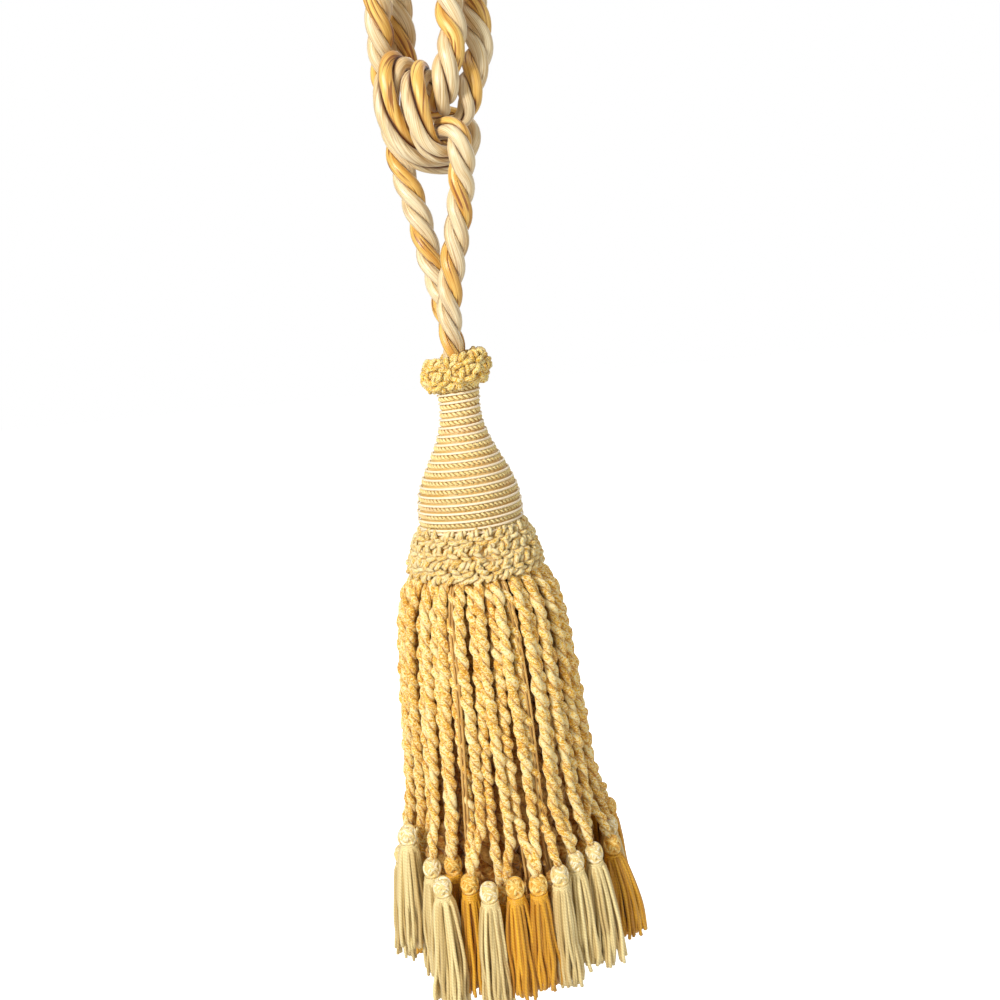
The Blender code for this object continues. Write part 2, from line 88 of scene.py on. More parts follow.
class Link:
    # wraps a node's output, so that expressions on it add Math nodes
    def __init__(self, finish, socket):
        self.finish = finish
        self.socket = socket

    def maths(self, operation, *values):
        return self.finish.node("ShaderNodeMath", {"operation": operation}, dict(enumerate(values)))

    def __add__(self, other):
        return self.maths("ADD", self, other)

    def __radd__(self, other):
        return self.maths("ADD", other, self)

    def __sub__(self, other):
        return self.maths("SUBTRACT", self, other)

    def __rsub__(self, other):
        return self.maths("SUBTRACT", other, self)

    def __mul__(self, other):
        return self.maths("MULTIPLY", self, other)

    def __rmul__(self, other):
        return self.maths("MULTIPLY", other, self)

    def __truediv__(self, other):
        return self.maths("DIVIDE", self, other)

    def __rtruediv__(self, other):
        return self.maths("DIVIDE", other, self)

    def wave(self, operation="SINE"):
        # a wave between 0 and 1
        return 0.5 + 0.5 * self.maths(operation, self)

    def clamped(self):
        return self.finish.node("ShaderNodeClamp", {}, {"Value": self})

    def between(self, low, high):
        # 0 below the low value and 1 above the high one, with a smooth rise
        sockets = {"Value": self, "From Min": low, "From Max": high}
        return self.finish.node("ShaderNodeMapRange", {"interpolation_type": "SMOOTHSTEP"}, sockets)


class Finish:
    # the nodes of one material, or of the room's world
    def __init__(self, name, group="materials"):
        self.owner = getattr(bpy.data, group).new(name)
        self.owner.use_nodes = True
        self.tree = self.owner.node_tree
        self.tree.nodes.clear()

    def node(self, kind, settings, sockets, output=0):
        # makes any node: its settings come first, then the values or links of its sockets
        made = self.tree.nodes.new(kind)
        for name, value in settings.items():
            setattr(made, name, value)
        for name, value in sockets.items():
            if isinstance(value, Link):
                self.tree.links.new(value.socket, made.inputs[name])
            else:
                made.inputs[name].default_value = value
        return Link(self, made.outputs[output]) if made.outputs else None

    def stored(self, name):
        return self.node("ShaderNodeAttribute", {"attribute_name": name}, {}, "Fac")

    def yarnPlace(self):
        # share of the way round a yarn, and metres along it
        uv = self.node("ShaderNodeUVMap", {"uv_map": "yarn"}, {})
        around = self.node("ShaderNodeSeparateXYZ", {}, {0: uv}, "X")
        along = self.node("ShaderNodeSeparateXYZ", {}, {0: uv}, "Y")
        return around, along

    def noise(self, x, y, z, detail=1.0, roughness=0.5):
        spot = self.node("ShaderNodeCombineXYZ", {}, {"X": x, "Y": y, "Z": z})
        sockets = {"Vector": spot, "Scale": 1.0, "Detail": detail, "Roughness": roughness}
        return self.node("ShaderNodeTexNoise", {}, sockets, "Fac")

    def mix(self, share, first, second, blend="MIX"):
        # each colour is a link, or a screen colour from a dictionary
        first, second = (c if isinstance(c, Link) else linear(c) for c in (first, second))
        settings = {"data_type": "RGBA", "blend_type": blend}
        return self.node("ShaderNodeMix", settings, {0: share, 6: first, 7: second}, 2)

    def shade(self, share, colour, shadow):
        # multiplies a colour towards a shadow tone
        return self.mix(share, colour, shadow, "MULTIPLY")

    def valleyShade(self, around, low, high):
        # how far a place on a ply is down between the plies, as the mask for painted shade there
        return (around * math.tau).wave("COSINE").between(low, high)

    def bump(self, height, depth, strength):
        return self.node("ShaderNodeBump", {}, {"Height": height, "Distance": depth, "Strength": strength})

    def close(self, colour, roughness, normal, sheen, sheenRoughness, specular):
        # the last three are the same all over the surface
        sockets = {"Base Color": colour, "Roughness": roughness, "Normal": normal, "Sheen Weight": sheen,
                   "Sheen Roughness": sheenRoughness, "Specular IOR Level": specular}
        shader = self.node("ShaderNodeBsdfPrincipled", {}, sockets, "BSDF")
        self.addOutput("ShaderNodeOutputMaterial", shader)
        return self.owner

    def addOutput(self, kind, shader):
        self.node(kind, {}, {"Surface": shader})


def linear(colour):
    # a screen colour as the shader's own numbers
    parts = (c / 12.92 if c < 0.04045 else ((c + 0.055) / 1.055) ** 2.4 for c in colour)
    return (*parts, 1.0)


# Yarn geometry

upward = (0.0, 0.0, 1.0)


class YarnMesh:
    # gathers tubes and writes them as one mesh, with each yarn's tone and ply stored on it
    def __init__(self):
        self.points, self.faces, self.corners, self.tones, self.plies = [], [], [], [], []
        self.count = 0

    def addRings(self, rings, along, tone, ply=0.0):
        length, sides = rings.shape[:2]
        index = self.count + np.arange(length * sides).reshape(length, sides)
        beside = np.roll(index, -1, axis=1)
        faces = np.stack([index[:-1], beside[:-1], beside[1:], index[1:]], axis=-1)
        self.faces.append(faces.reshape(-1, 4))
        across = np.arange(sides) / sides
        corners = np.empty((length - 1, sides, 4, 2))
        corners[..., 0, 0] = corners[..., 3, 0] = across
        corners[..., 1, 0] = corners[..., 2, 0] = across + 1.0 / sides
        corners[..., 0, 1] = corners[..., 1, 1] = along[:-1, None]
        corners[..., 2, 1] = corners[..., 3, 1] = along[1:, None]
        self.corners.append(corners.reshape(-1, 2))
        self.points.append(rings.reshape(-1, 3))
        self.tones.append(np.full(length * sides, tone))
        self.plies.append(np.full(length * sides, ply))
        self.count += length * sides

    def addTube(self, line, frames, wide, deep, sides, tone, ply=0.0, capped=True):
        # an oval tube: wide along each frame's side, deep along its other direction
        side, other = frames
        wide = np.broadcast_to(wide, len(line)).astype(float)
        deep = np.broadcast_to(deep, len(line)).astype(float)
        along = lengthAlong(line)
        if capped:
            # one more ring at each end, half a radius further out and almost closed
            capLift, capWidth = 0.5, 0.05
            ahead = [a / max(np.linalg.norm(a), 1e-9) for a in (line[0] - line[1], line[-1] - line[-2])]
            lift = [capLift * min(wide[end], deep[end]) for end in (0, -1)]
            line = np.vstack([line[0] + ahead[0] * lift[0], line, line[-1] + ahead[1] * lift[1]])
            side, other = (np.vstack([rows[0], rows, rows[-1]]) for rows in (side, other))
            wide, deep = (np.concatenate([[r[0] * capWidth], r, [r[-1] * capWidth]]) for r in (wide, deep))
            along = np.concatenate([[along[0] - lift[0]], along, [along[-1] + lift[1]]])
        turns = math.tau * np.arange(sides) / sides
        rings = (line[:, None]
                 + np.cos(turns)[None, :, None] * (side * wide[:, None])[:, None]
                 + np.sin(turns)[None, :, None] * (other * deep[:, None])[:, None])
        self.addRings(rings, along, tone, ply)

    def build(self, name, material):
        points = np.concatenate(self.points).astype(np.float32)
        faces = np.concatenate(self.faces).astype(np.int32)
        corners = np.concatenate(self.corners).astype(np.float32)
        mesh = bpy.data.meshes.new(name)
        mesh.vertices.add(len(points))
        mesh.vertices.foreach_set("co", points.ravel())
        mesh.loops.add(faces.size)
        mesh.loops.foreach_set("vertex_index", faces.ravel())
        mesh.polygons.add(len(faces))
        mesh.polygons.foreach_set("loop_start", np.arange(0, faces.size, 4, dtype=np.int32))
        mesh.uv_layers.new(name="yarn").uv.foreach_set("vector", corners.ravel())
        for label, values in (("tone", self.tones), ("ply", self.plies)):
            layer = mesh.attributes.new(label, "FLOAT", "POINT")
            layer.data.foreach_set("value", np.concatenate(values).astype(np.float32))
        mesh.update(calc_edges=True)
        mesh.validate()
        mesh.shade_smooth()
        mesh.materials.append(material)
        print(f"{name}: {len(faces) * 2} triangles")
        return addObject(name, mesh)


def lengthAlong(line):
    steps = np.linalg.norm(np.diff(line, axis=0), axis=1)
    return np.concatenate([[0.0], np.cumsum(steps)])


def unit(rows):
    return rows / np.maximum(np.linalg.norm(rows, axis=-1, keepdims=True), 1e-12)


def tangentsOf(line):
    return unit(np.gradient(line, axis=0))


def framesFrom(line, reference):
    # frames for a line that never runs along the reference direction
    tangents = tangentsOf(line)
    side = unit(np.cross(tangents, np.broadcast_to(reference, line.shape)))
    return side, np.cross(tangents, side)


def carriedFrames(line):
    # frames that never spin about the line
    tangents = tangentsOf(line)
    side = np.cross(tangents[0], (0.0, 1.0, 0.0))
    sides = []
    for tangent in tangents:
        side = side - tangent * side.dot(tangent)
        side = side / np.linalg.norm(side)
        sides.append(side)
    sides = np.array(sides)
    return sides, np.cross(tangents, sides)


def smoothCurve(route, stepsBetween):
    # Catmull-Rom curve through the rows
    rows = np.array(route, dtype=float)
    rows = np.vstack([2 * rows[0] - rows[1], rows, 2 * rows[-1] - rows[-2]])
    found = []
    for a, b, c, d in zip(rows, rows[1:], rows[2:], rows[3:]):
        for k in range(stepsBetween):
            t = k / stepsBetween
            found.append(0.5 * (2 * b + (c - a) * t + (2 * a - 5 * b + 4 * c - d) * t**2
                                + (3 * b - a - 3 * c + d) * t**3))
    found.append(rows[-2])
    return np.array(found)


def evenSteps(rows, step):
    along = lengthAlong(rows[:, :3])
    wanted = np.linspace(0.0, along[-1], int(round(along[-1] / step)) + 1)
    return np.stack([np.interp(wanted, along, column) for column in rows.T], axis=1)


def aroundAxis(angle, radius, height):
    return np.array([radius * math.sin(angle), -radius * math.cos(angle), height])


def radiusAt(profile, height):
    # a profile's rows are height and radius, from the top down
    heights = [row[0] for row in reversed(profile)]
    return np.interp(height, heights, [row[1] for row in reversed(profile)])


def addBody(yarn, profile, sides):
    # a turned body under the yarn, closed at both ends
    almostClosed = 0.0002
    rows = [(profile[0][0], almostClosed)] + list(profile) + [(profile[-1][0], almostClosed)]
    turns = -math.tau * np.arange(sides) / sides
    rings = np.array([[aroundAxis(angle, radius, height) for angle in turns] for height, radius in rows])
    yarn.addRings(rings, np.array([row[0] for row in rows]), 0.3)


def addLaid(yarn, line, frames, thick, plies, turn, sides, tone, shape=(0.5, 0.5, 0.52), kinds=(0.0, 0.0)):
    # plies laid round a line: shape is their offset, depth and width, as shares of the radius
    side, other = frames
    thick = np.broadcast_to(thick, len(line)).astype(float)
    offset, deep, wide = shape
    toneStep = 0.37
    for ply in range(plies):
        angle = turn + math.tau * ply / plies
        out = np.cos(angle)[:, None] * side + np.sin(angle)[:, None] * other
        plyLine = line + out * (thick * offset)[:, None]
        tangents = tangentsOf(plyLine)
        outward = unit(out - tangents * (out * tangents).sum(axis=1)[:, None])
        # the first side of each ring faces the middle, so that the seam is hidden
        yarn.addTube(plyLine, (-outward, np.cross(outward, tangents)), thick * deep, thick * wide, sides,
                     (tone + toneStep * ply) % 1.0, kinds[ply])


def place(piece, slot, solid):
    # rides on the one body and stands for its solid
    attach(piece, "root")
    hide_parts(solid)


# Rope

rope = {
    "diameter": 0.010,
    "knotHeight": -0.066,
    "lay": 0.028,  # for one full turn of a ply
    "firstTurn": 0.4,  # in radians
    "plySides": 14,
    "plyOffset": 0.53,  # this and the next two are shares of the rope's radius
    "plyDeep": 0.46,
    "plyWide": 0.485,
    "routeStep": 0.0025,
    "settledStep": 0.0035,
    "ringStep": 0.0011,
    "pathStep": 0.004,
    "settleRounds": 300,
    "gap": 0.0004,
    "sameTurn": 1.6,  # places nearer along the rope than this many diameters don't push each other
    "heldEnd": 8.0,  # rows over which each end is held, less and less
    "pushShare": 1.4,
    "smoothShare": 0.45,
    "amber": (0.97, 0.82, 0.45),
    "amberDeep": (0.80, 0.56, 0.18),
    "cream": (0.96, 0.90, 0.75),
    "creamDeep": (0.82, 0.69, 0.46),
    "slitShade": (0.62, 0.40, 0.12),
    "broadShadow": (0.93, 0.82, 0.60),
    "plyShadow": (0.50, 0.31, 0.12),
    "fibreSlant": 30.0,  # turns round the ply for each metre
    "fibreDepth": 0.0003,
}

# x, y, height above the knot's middle, radius, share of the lay left in
ropeRoute = (
    (0.0003, 0.0046, -0.0996, 0.0040, 1), (0.0004, 0.0047, -0.0855, 0.0041, 1),
    (-0.0009, 0.0052, -0.0760, 0.0046, 1), (-0.0020, 0.0058, -0.0693, 0.0048, 1),
    (-0.0038, 0.0062, -0.0580, 0.0049, 1), (-0.0056, 0.0062, -0.0506, 0.0049, 1),
    (-0.0071, 0.0062, -0.0400, 0.0049, 1), (-0.0096, 0.0060, -0.0280, 0.0049, 1),
    (-0.0116, 0.0058, -0.0189, 0.0048, 1), (-0.0128, 0.0054, -0.0060, 0.0044, 1),
    (-0.0130, 0.0048, 0.0060, 0.0045, 1), (-0.0130, 0.0034, 0.0170, 0.0048, 1),
    (-0.0130, -0.0008, 0.0280, 0.0051, 1), (-0.0131, -0.0065, 0.0400, 0.0052, 1),
    (-0.0129, -0.0110, 0.0540, 0.0052, 1), (-0.0124, -0.0088, 0.0668, 0.0052, 1),
    (-0.0110, 0.0000, 0.0712, 0.0052, 1), (-0.0096, 0.0088, 0.0668, 0.0052, 1),
    (-0.0084, 0.0115, 0.0540, 0.0052, 1), (-0.0076, 0.0110, 0.0400, 0.0052, 1),
    (-0.0072, 0.0104, 0.0280, 0.0051, 1), (-0.0074, 0.0112, 0.0190, 0.0049, 1),
    (-0.0068, 0.0135, 0.0110, 0.0042, 1), (-0.0036, 0.0160, 0.0046, 0.0038, 1),
    (0.0025, 0.0170, 0.0009, 0.0039, 1), (0.0090, 0.0146, -0.0018, 0.0042, 0.8),
    (0.0136, 0.0096, -0.0060, 0.0042, 0.6), (0.0134, 0.0056, -0.0110, 0.0038, 0.5),
    (0.0084, 0.0044, -0.0164, 0.0036, 0.4), (0.0020, 0.0002, -0.0174, 0.0040, 0.35),
    (-0.0044, -0.0046, -0.0158, 0.0047, 0.35), (-0.0090, -0.0080, -0.0110, 0.0051, 0.35),
    (-0.0118, -0.0094, -0.0030, 0.0051, 0.35), (-0.0120, -0.0092, 0.0045, 0.0051, 0.35),
    (-0.0109, -0.0078, 0.0110, 0.0050, 0.4), (-0.0083, -0.0044, 0.0144, 0.0048, 0.5),
    (-0.0052, 0.0010, 0.0136, 0.0041, 0.6), (-0.0056, 0.0065, 0.0090, 0.0036, 1),
    (-0.0060, 0.0096, 0.0016, 0.0036, 1), (-0.0030, 0.0100, -0.0050, 0.0036, 1),
    (0.0032, 0.0084, -0.0076, 0.0033, 0.8), (0.0074, 0.0052, -0.0094, 0.0032, 0.5),
    (0.0088, -0.0004, -0.0122, 0.0032, 0.5), (0.0068, -0.0056, -0.0150, 0.0036, 0.4),
    (0.0022, -0.0098, -0.0148, 0.0042, 0.35), (-0.0014, -0.0116, -0.0116, 0.0046, 0.35),
    (-0.0030, -0.0120, -0.0060, 0.0049, 0.35), (-0.0032, -0.0118, -0.0005, 0.0050, 0.35),
    (-0.0028, -0.0098, 0.0060, 0.0049, 0.35), (-0.0016, -0.0054, 0.0106, 0.0046, 0.4),
    (0.0008, -0.0008, 0.0104, 0.0039, 0.6), (0.0024, 0.0028, 0.0066, 0.0035, 0.6),
    (0.0039, 0.0032, 0.0018, 0.0035, 0.6), (0.0054, -0.0016, -0.0016, 0.0042, 0.6),
    (0.0060, -0.0068, 0.0010, 0.0050, 0.7), (0.0070, -0.0092, 0.0075, 0.0052, 0.8),
    (0.0086, -0.0092, 0.0140, 0.0053, 1), (0.0106, -0.0084, 0.0200, 0.0052, 1),
    (0.0102, -0.0080, 0.0280, 0.0052, 1), (0.0102, -0.0080, 0.0400, 0.0052, 1),
    (0.0109, -0.0110, 0.0540, 0.0052, 1), (0.0122, -0.0088, 0.0668, 0.0052, 1),
    (0.0142, 0.0000, 0.0712, 0.0052, 1), (0.0162, 0.0088, 0.0668, 0.0052, 1),
    (0.0178, 0.0110, 0.0540, 0.0052, 1), (0.0185, 0.0070, 0.0400, 0.0052, 1),
    (0.0189, 0.0040, 0.0280, 0.0052, 1), (0.0184, 0.0018, 0.0190, 0.0052, 1),
    (0.0144, -0.0018, 0.0090, 0.0052, 1), (0.0118, -0.0044, 0.0024, 0.0049, 1),
    (0.0112, -0.0028, -0.0028, 0.0040, 0.8), (0.0078, -0.0008, -0.0060, 0.0032, 0.6),
    (0.0040, -0.0005, -0.0076, 0.0032, 0.5), (0.0010, -0.0030, -0.0086, 0.0035, 0.5),
    (0.0022, -0.0074, -0.0088, 0.0037, 0.5), (0.0044, -0.0118, -0.0100, 0.0042, 0.6),
    (0.0066, -0.0138, -0.0126, 0.0046, 0.8), (0.0072, -0.0138, -0.0166, 0.0048, 0.9),
    (0.0072, -0.0124, -0.0206, 0.0049, 1), (0.0071, -0.0104, -0.0252, 0.0049, 1),
    (0.0065, -0.0089, -0.0321, 0.0049, 1), (0.0054, -0.0078, -0.0396, 0.0049, 1),
    (0.0040, -0.0070, -0.0470, 0.0049, 1), (0.0023, -0.0066, -0.0545, 0.0049, 1),
    (0.0002, -0.0061, -0.0660, 0.0048, 1), (-0.0006, -0.0054, -0.0760, 0.0046, 1),
    (-0.0005, -0.0047, -0.0855, 0.0041, 1), (-0.0003, -0.0046, -0.0996, 0.0040, 1),
)


def pushTurnsApart(rows):
    # moves the knot's turns sideways until none is nearer its neighbour than their two radii
    home, radius = rows[:, :3], rows[:, 3]
    count = len(rows)
    number = np.arange(count)
    step = np.linalg.norm(np.diff(home, axis=0), axis=1).mean()
    touching = radius[:, None] + radius[None, :] + rope["gap"]
    sameTurn = np.abs(number[:, None] - number[None, :]) * step < rope["sameTurn"] * touching
    endHold = np.clip(np.minimum(number, count - 1 - number) / rope["heldEnd"], 0.0, 1.0)[:, None]
    shift = np.zeros_like(home)
    for _ in range(rope["settleRounds"]):
        apart = (home + shift)[:, None] - (home + shift)[None, :]
        distance = np.linalg.norm(apart, axis=2) + 1e-9
        overlap = np.where(sameTurn, 0.0, np.clip(touching - distance, 0.0, None))
        push = (apart / distance[..., None] * overlap[..., None] * 0.5).sum(axis=1)
        meetings = np.maximum((overlap > 0).sum(axis=1), 1)[:, None]
        shift += endHold * push / meetings * rope["pushShare"]
        shift[1:-1] += rope["smoothShare"] * (0.5 * (shift[:-2] + shift[2:]) - shift[1:-1])
    return np.column_stack([home + shift, rows[:, 3:]])


def ropeCentreline():
    route = [(x, y, z + rope["knotHeight"], radius, lay) for x, y, z, radius, lay in ropeRoute]
    settled = pushTurnsApart(evenSteps(smoothCurve(route, 12), rope["routeStep"]))
    return evenSteps(smoothCurve(evenSteps(settled, rope["settledStep"]), 8), rope["ringStep"])


def ropeFinish():
    look = Finish("ropeSatin")
    around, along = look.yarnPlace()
    isCream = look.stored("ply")
    tone = look.stored("tone")
    # fibres lie slanted across the ply, against its own lay
    slant = around - along * rope["fibreSlant"]
    fibre = look.noise(slant * 60.0, along * 60.0, tone * 9.0, detail=3.0)
    broad = look.noise(slant * 4.0, along * 60.0, tone * 5.0)
    sheen = look.noise(slant * 9.0, along * 25.0, tone * 3.0)
    cream = look.mix(fibre.between(0.30, 0.66), rope["creamDeep"], rope["cream"])
    amber = look.mix((fibre * 0.6 + sheen * 0.4).between(0.34, 0.64), rope["amberDeep"], rope["amber"])
    colour = look.mix(isCream, amber, cream)
    colour = look.shade(broad.between(0.42, 0.72) * 0.5, colour, rope["broadShadow"])
    # the satin parts here and there between its fibres, most of all on the amber ply; painted shade
    # darkens these slits
    parting = look.noise(slant * 13.0, along * 70.0, tone * 15.0).between(0.56, 0.66)
    colour = look.shade(parting * (0.85 - isCream * 0.5), colour, rope["slitShade"])
    colour = look.shade(look.valleyShade(around, 0.44, 0.78), colour, rope["plyShadow"])
    normal = look.bump(fibre * 0.4 + broad * 0.8 - parting * 0.5, rope["fibreDepth"], 0.8)
    return look.close(colour, 0.32 + 0.14 * fibre, normal, sheen=0.3, sheenRoughness=0.4, specular=0.7)


def makeRope():
    line = ropeCentreline()
    path, radius = line[:, :3], line[:, 3]
    along = lengthAlong(path)
    # the rope is wound tight round itself in the knot, which opens its lay there
    turns = np.cumsum(np.diff(along) * math.tau / rope["lay"] * line[1:, 4])
    turn = rope["firstTurn"] - np.concatenate([[0.0], turns])
    yarn = YarnMesh()
    # one amber ply and two cream ones
    addLaid(yarn, path, carriedFrames(path), radius, 3, turn, rope["plySides"], 0.2,
            (rope["plyOffset"], rope["plyDeep"], rope["plyWide"]), (0.0, 1.0, 1.0))
    piece = yarn.build("tasselRope", ropeFinish())
    place(piece, "satin_rope", "rope")
    print(f"rope laid, {along[-1]:.3f} m")


# Spun yarn, in cream and gold flecks

spunYarn = {
    "girth": 0.0085,  # once round a ply, for the size of its flecks
    "deepGold": (0.85, 0.72, 0.37),  # the deepest dye, as shares of the gold
    "valleyShadow": (0.82, 0.60, 0.18),
    "fleckDepth": 0.0007,
}


def spunFinish(name, colouring):
    # gold yarn spun with cream and a little blush, in fine flecks; painted shade darkens it between its
    # plies
    look = Finish(name)
    around, along = look.yarnPlace()
    tone = look.stored("tone")
    size = colouring["fleckSize"]
    across = around * (spunYarn["girth"] / size)
    fleck = look.noise(across, along / size + around * 2.0, tone * 31.0, detail=2.0, roughness=0.6)
    fine = look.noise(across * 1.9, along * (1.8 / size), tone * 13.0 + 4.0)
    patch = look.noise(around * 1.2, along / colouring["patchSize"], tone * 17.0)
    lift = (fleck * 0.6 + fine * 0.4 + (patch - 0.5) * 0.30 + (tone - 0.5) * 0.05
            + (colouring["creamShare"] - 0.5) * 0.12)
    deep = tuple(c * k for c, k in zip(colouring["gold"], spunYarn["deepGold"]))
    colour = look.mix(lift.between(0.40, 0.475), deep, colouring["gold"])
    colour = look.mix(lift.between(0.485, 0.555), colour, colouring["cream"])
    colour = look.mix(fine.between(0.55, 0.62) * 0.45, colour, colouring["blush"])
    # painted shade: the colour darkens towards the valleys between the plies
    depth = look.valleyShade(around, 0.42, 0.70) * colouring["valleyShade"]
    colour = look.shade(depth, colour, spunYarn["valleyShadow"])
    normal = look.bump(fleck * 0.6 + fine * 0.6, spunYarn["fleckDepth"], 1.0)
    return look.close(colour, 0.5 + 0.15 * fine, normal, sheen=0.3, sheenRoughness=0.45, specular=0.3)


# Ruffs

stitch = {
    "rings": 9,
    "sides": 7,
    "arch": 1.6,  # how far its ends drop below its top, in its own rises
    "taper": 0.28,
    "lay": 3.2,  # for one turn of its plies, in its own radii
}

ruffColouring = {"blush": (1.0, 0.88, 0.72), "fleckSize": 0.0007, "patchSize": 0.006, "valleyShade": 0.40}

lowerRuff = {
    # height, radius, stitches, slant
    "rows": ((-0.2185, 0.0208, 25, 44), (-0.2208, 0.0220, 26, -24), (-0.2233, 0.0231, 28, 38),
             (-0.2259, 0.0242, 29, -38), (-0.2284, 0.0250, 30, 28), (-0.2308, 0.0256, 31, -30),
             (-0.2330, 0.0259, 30, 14)),
    "coreLift": 0.0012,
    "coreInset": 0.0026,
    "lean": -0.25,  # the stitches face a little downwards
    "stitchLength": 0.0054,
    "stitchThick": 0.00172,
    "rise": 0.0009,
    # how uneven the stitches are: of their share of a row, in degrees, in metres, and of their size
    "sideStray": (-0.12, 0.12),
    "slantStray": (-24, 24),
    "heightStray": (-0.0004, 0.0004),
    "sinkStray": (-0.0003, 0.0003),
    "lengths": (0.85, 1.1),
    "thicknesses": (0.88, 1.08),
    "colouring": {**ruffColouring, "gold": (0.99, 0.83, 0.38), "cream": (1.0, 0.94, 0.72), "creamShare": 0.75},
}

neckRuff = {
    "middle": -0.1593,
    "ringRadius": 0.0087,
    "halfWidth": 0.0040,
    "halfHeight": 0.0059,
    "tilt": 0.0017,  # its right side stands this much higher and its left side lower
    "holeDeeper": 0.0012,  # how much further its hole reaches to front and back, for the rope's legs
    "coreShare": 0.62,
    # place round the section, stitches, slant
    "rows": ((-104.0, 9, 24), (-70.0, 12, 12), (-38.0, 14, -40), (-6.0, 15, 42), (26.0, 14, -30),
             (62.0, 12, 46), (108.0, 9, -30)),
    "stitchLength": 0.0054,
    "stitchThick": 0.00190,
    "rise": 0.0011,
    "edgeFrom": 65,  # rows further round the section than this have short stitches
    "edgeLength": 0.8,
    "sideStray": (-0.14, 0.14),
    "slantStray": (-30, 30),
    "sinkStray": (-0.0005, 0.0004),
    "lengths": (0.85, 1.15),
    "thicknesses": (0.85, 1.15),
    "colouring": {**ruffColouring, "gold": (0.99, 0.82, 0.30), "cream": (1.0, 0.94, 0.66), "creamShare": 0.58},
}


def addStitch(yarn, middle, outward, along, length, thick, rise, tone):
    # one short fat stitch of two plies that rises out of the ruff and dives back in
    share = np.linspace(-1.0, 1.0, stitch["rings"])
    line = (middle + along * (share * 0.5 * length)[:, None]
            + outward * (rise * (1.0 - stitch["arch"] * share**2))[:, None])
    thickness = thick * (1.0 - stitch["taper"] * share**2)
    turn = -math.tau * lengthAlong(line) / (stitch["lay"] * thick) + 6.0 * tone
    addLaid(yarn, line, framesFrom(line, outward), thickness, 2, turn, stitch["sides"], tone)


def addStitchRow(yarn, ruff, chance, row, count, slant, outwardAt, spotAt, isEdge=False):
    # one row of stitches round a ruff; every other row is set half a stitch further round
    for k in range(count):
        azimuth = math.tau * (k + 0.5 * (row % 2) + chance.uniform(*ruff["sideStray"])) / count
        outward = outwardAt(azimuth)
        level = np.array([math.cos(azimuth), math.sin(azimuth), 0.0])
        lean = math.radians(slant + chance.uniform(*ruff["slantStray"]))
        along = level * math.cos(lean) + np.cross(outward, level) * math.sin(lean)
        spot = spotAt(azimuth)
        sunk = ruff["stitchThick"] + chance.uniform(*ruff["sinkStray"])
        size = ruff["edgeLength"] if isEdge else chance.uniform(*ruff["lengths"])
        thick = ruff["stitchThick"] * chance.uniform(*ruff["thicknesses"])
        addStitch(yarn, spot - outward * sunk, outward, along, ruff["stitchLength"] * size, thick,
                  ruff["rise"], chance.random())


def makeLowerRuff():
    chance = random.Random(11)
    yarn = YarnMesh()
    rows = lowerRuff["rows"]
    addBody(yarn, [(row[0] + lowerRuff["coreLift"], row[1] - lowerRuff["coreInset"]) for row in rows], 40)

    def outwardAt(azimuth):
        outward = aroundAxis(azimuth, 1.0, lowerRuff["lean"])
        return outward / np.linalg.norm(outward)

    for row, (height, radius, count, slant) in enumerate(rows):
        def spotAt(azimuth):
            return aroundAxis(azimuth, radius, height + chance.uniform(*lowerRuff["heightStray"]))

        addStitchRow(yarn, lowerRuff, chance, row, count, slant, outwardAt, spotAt)
    place(yarn.build("lowerRuff", spunFinish("ruffYarn", lowerRuff["colouring"])), "ruff_yarn", "lower_ruff")


def onNeckRuff(azimuth, lap, share):
    # a point on the ring's section, at this share of the way out from the section's middle
    reach = neckRuff["ringRadius"] + neckRuff["halfWidth"] * share * math.cos(lap)
    reach += neckRuff["holeDeeper"] * (1.0 - abs(math.sin(azimuth))) * (math.cos(lap) < 0)
    height = neckRuff["middle"] + neckRuff["halfHeight"] * share * math.sin(lap)
    tilt = neckRuff["tilt"] * math.sin(azimuth)
    return aroundAxis(azimuth, reach, height + tilt)


def makeNeckRuff():
    chance = random.Random(5)
    yarn = YarnMesh()
    sides, steps = 36, 12
    turns = math.tau * np.arange(sides) / sides
    laps = [math.tau * j / steps for j in range(steps + 1)]
    rings = np.array([[onNeckRuff(a, lap, neckRuff["coreShare"]) for a in turns] for lap in laps])
    yarn.addRings(rings, np.arange(steps + 1) * 0.002, 0.3)
    for row, (lapAngle, count, slant) in enumerate(neckRuff["rows"]):
        lap = math.radians(lapAngle)

        def outwardAt(azimuth):
            return aroundAxis(azimuth, 1.0, 0.0) * math.cos(lap) + np.array(upward) * math.sin(lap)

        addStitchRow(yarn, neckRuff, chance, row, count, slant, outwardAt,
                     lambda azimuth: onNeckRuff(azimuth, lap, 1.0), abs(lapAngle) > neckRuff["edgeFrom"])
    place(yarn.build("neckRuff", spunFinish("neckRuffYarn", neckRuff["colouring"])), "ruff_yarn", "neck_ruff")


# Mould

mould = {
    "profile": ((-0.1634, 0.0082), (-0.1726, 0.0076), (-0.1789, 0.0083), (-0.1852, 0.0104),
                (-0.1914, 0.0134), (-0.1979, 0.0167), (-0.2040, 0.0190), (-0.2105, 0.0199),
                (-0.2143, 0.0199), (-0.2176, 0.0192)),
    "collar": (-0.1606, 0.0074),  # hidden in the neck ruff
    "spigot": ((-0.2178, 0.0140), (-0.2366, 0.0140)),  # hidden in the lower ruff and the skirt
    "coreInset": 0.0010,
    "turns": 18,
    "firstAngle": 2.4,  # in radians
    "topGap": 0.3,  # a cord stays this share of its radius below the top
    "cordThick": 0.00108,
    "cordLay": 0.0036,
    "cordStart": 0.36,  # of the way down to the next turn
    "lineThick": 0.00044,
    "lineStart": 0.90,
    "lineProud": 0.0003,
    "gold": (0.98, 0.90, 0.64),
    "goldDeep": (0.90, 0.77, 0.45),
    "blush": (0.97, 0.82, 0.62),
    "cream": (0.98, 0.91, 0.78),
    "valleyShadow": (0.80, 0.64, 0.38),
    "fibreDepth": 0.00015,
}


